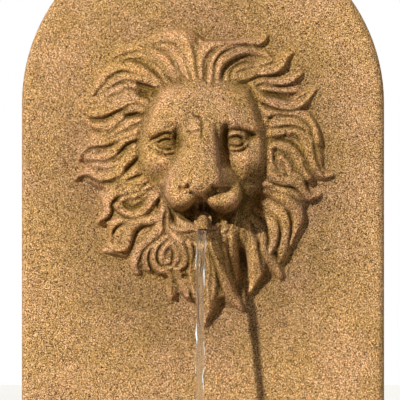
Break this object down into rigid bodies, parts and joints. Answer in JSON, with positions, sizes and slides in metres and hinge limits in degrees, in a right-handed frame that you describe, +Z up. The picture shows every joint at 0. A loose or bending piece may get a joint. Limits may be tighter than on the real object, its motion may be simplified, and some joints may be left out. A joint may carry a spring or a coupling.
{
  "type": "lion floor fountain",
  "caption": "Floor fountain with an arched sandstone-coloured panel, a lion mask that spouts water, a half-round basin on a plinth and a hidden pump.",
  "frame": {"origin": "on the floor, under the middle of the bounding box", "axes": "+Z up, -Y towards the front where the lion faces, +X to the right seen from the front"},
  "size_m": [0.5, 0.3999, 1.07],
  "materials": {
    "sandstone": "sand-coated cast resin, grainy and matt",
    "cover_resin": "plain moulded back, lightly textured",
    "black_plastic": "moulded, satin",
    "screen_plastic": "moulded, matt",
    "rubber": "matt black",
    "red_rubber": "matt",
    "steel": "stainless, satin",
    "spout_metal": "coated to match the panel, weathered",
    "brass": "plain",
    "clear_vinyl": "clear flexible hose",
    "white_plastic": "moulded",
    "ferrite": "sintered magnet",
    "ceramic_white": "ground ceramic rod",
    "foam": "open-cell filter foam",
    "red_plastic": "moulded knob"
  },
  "bodies": {
    "root": {"rubber_feet": "rubber", "plinth": "sandstone", "plinth_bolts": "steel", "plinth_washers": "steel", "basin": "sandstone", "basin_foot": "sandstone", "pump_deck": "sandstone", "well_screen": "screen_plastic", "drain_body": "black_plastic", "drain_gasket": "red_rubber", "drain_nut": "black_plastic", "back_panel": "sandstone", "panel_bolts": "steel", "panel_washers": "steel", "panel_nuts": "steel", "lion_mask": "sandstone", "mouth_spout": "spout_metal", "spout_washer": "rubber", "spout_nut": "brass", "feed_hose": "clear_vinyl", "hose_clamps": "steel", "rear_cover": "cover_resin", "cover_screws": "steel", "hinge_pin": "steel", "cord_grommet": "rubber", "pump_body": "black_plastic", "impeller_shaft": "ceramic_white", "volute_cover": "black_plastic", "strainer_cover": "black_plastic", "strainer_foam": "foam", "outlet_nozzle": "black_plastic", "cord_gland": "rubber", "suction_feet": "rubber"},
    "door": {"access_door": "cover_resin"},
    "latch": {"latch_knob": "black_plastic", "latch_cam": "steel"},
    "rotor": {"impeller": "white_plastic", "rotor_magnet": "ferrite"},
    "dial": {"flow_dial": "red_plastic"},
    "plug": {"drain_plug": "rubber"}
  },
  "joints": [
    {"name": "door_hinge", "type": "hinge", "parent": "root", "child": "door", "pos_m": [-0.094, 0.194, 0.56], "axis": [0, 0, 1], "range_deg": [0, 110]},
    {"name": "latch_turn", "type": "hinge", "parent": "door", "child": "latch", "pos_m": [0.075, 0.188, 0.56], "axis": [0, 1, 0], "range_deg": [0, 90]},
    {"name": "impeller_spin", "type": "hinge", "parent": "root", "child": "rotor", "pos_m": [0, 0.144, 0.343], "axis": [0, 1, 0], "continuous": true},
    {"name": "flow_turn", "type": "hinge", "parent": "root", "child": "dial", "pos_m": [0, 0.117, 0.343], "axis": [0, 1, 0], "range_deg": [0, 90]},
    {"name": "plug_pull", "type": "slide", "parent": "root", "child": "plug", "axis": [0, 0, 1], "range_m": [0, 0.06]}
  ]
}
